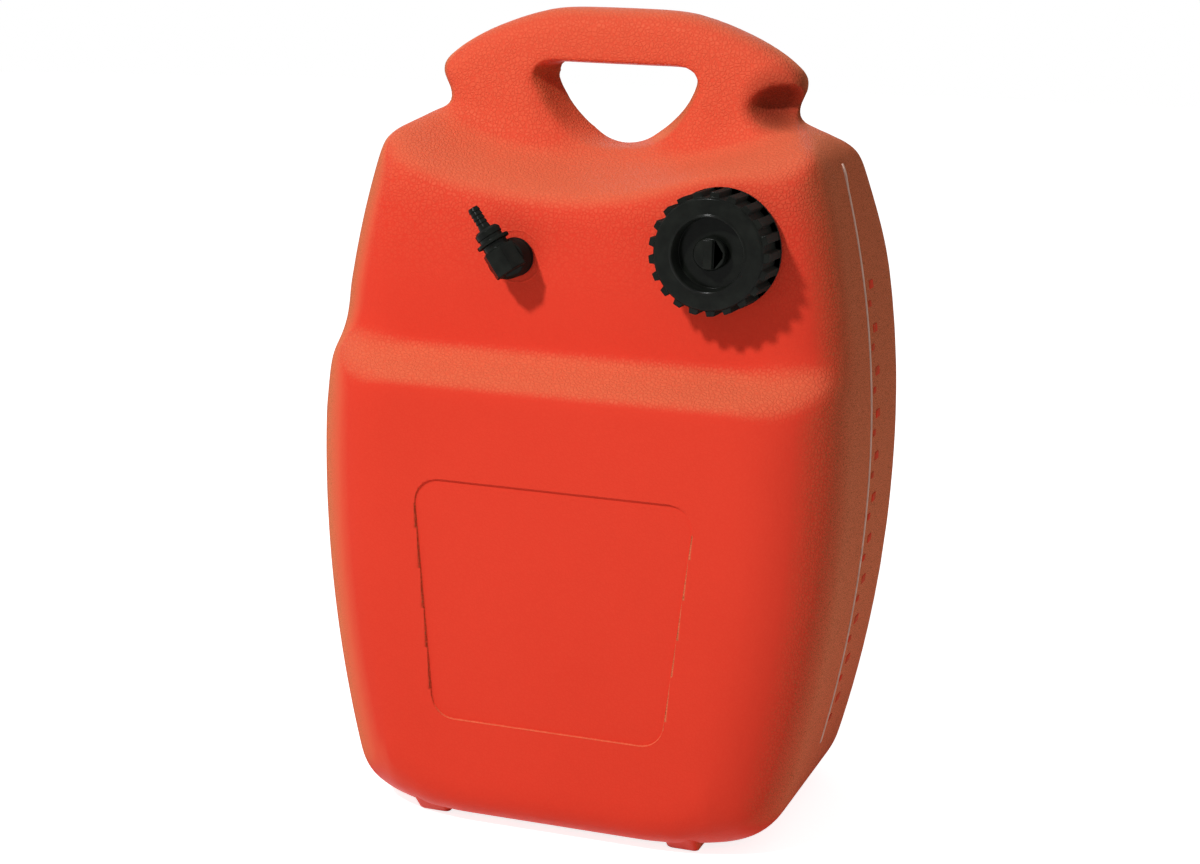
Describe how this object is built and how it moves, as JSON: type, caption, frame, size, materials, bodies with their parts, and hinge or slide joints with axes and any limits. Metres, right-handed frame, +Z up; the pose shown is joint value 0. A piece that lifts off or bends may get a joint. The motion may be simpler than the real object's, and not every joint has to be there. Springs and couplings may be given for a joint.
{
  "type": "portable outboard fuel tank",
  "caption": "Portable moulded outboard fuel tank with a built-in carrying handle, screw filler cap with a vent screw, swivelling hose outlet and an inner pick-up with a strainer.",
  "frame": {"origin": "middle of the footprint, on the plane that the two feet stand on", "axes": "+Z up along the tank's height, -Y the front with the cap and the outlet, +X the side of the filler cap"},
  "size_m": [0.3432, 0.228, 0.515],
  "materials": {
    "tank": "fine leather grain",
    "fitting": "glossy",
    "seal": "matt",
    "brass_parts": "turned",
    "steel_parts": "bright",
    "mesh": "woven gauze",
    "tube": "satin"
  },
  "bodies": {
    "tank": {"tank_shell": "tank", "outlet_insert": "brass_parts", "outlet_gasket": "seal", "outlet_adapter": "fitting", "elbow_o_ring": "seal", "elbow_circlip": "steel_parts", "pickup_tube": "tube", "upper_hose_clip": "steel_parts", "lower_hose_clip": "steel_parts", "strainer_body": "fitting", "strainer_mesh": "mesh", "strainer_foot": "fitting"},
    "cap_seal": {"cap_gasket": "seal"},
    "cap": {"filler_cap": "fitting", "splash_cup": "fitting"},
    "vent_seal": {"vent_o_ring": "seal"},
    "vent": {"vent_knob": "fitting", "vent_screw": "brass_parts", "vent_retainer": "steel_parts"},
    "elbow": {"outlet_elbow": "fitting", "barb_seal": "seal", "barb_nut": "fitting", "hose_barb": "fitting"}
  },
  "joints": [
    {"name": "cap_lift", "type": "slide", "parent": "tank", "child": "cap_seal", "axis": [0, -1, 0], "range_m": [0, 0.0084]},
    {"name": "cap_turn", "type": "hinge", "parent": "cap_seal", "child": "cap", "pos_m": [0.0921, -0.0823, 0.3788], "axis": [0, -1, 0], "range_deg": [0, 600]},
    {"name": "vent_lift", "type": "slide", "parent": "cap", "child": "vent_seal", "axis": [0, -1, 0], "range_m": [0, 0.0026]},
    {"name": "vent_turn", "type": "hinge", "parent": "vent_seal", "child": "vent", "pos_m": [0.0921, -0.0823, 0.3788], "axis": [0, -1, 0], "range_deg": [0, 720]},
    {"name": "elbow_swivel", "type": "hinge", "parent": "tank", "child": "elbow", "pos_m": [-0.038, -0.0823, 0.365], "axis": [0, -1, 0], "continuous": true}
  ],
  "couplings": [
    {"joint": "cap_lift", "follows": "cap_turn", "m_per_rad": 0.00079577},
    {"joint": "vent_lift", "follows": "vent_turn", "m_per_rad": 0.00019894}
  ]
}
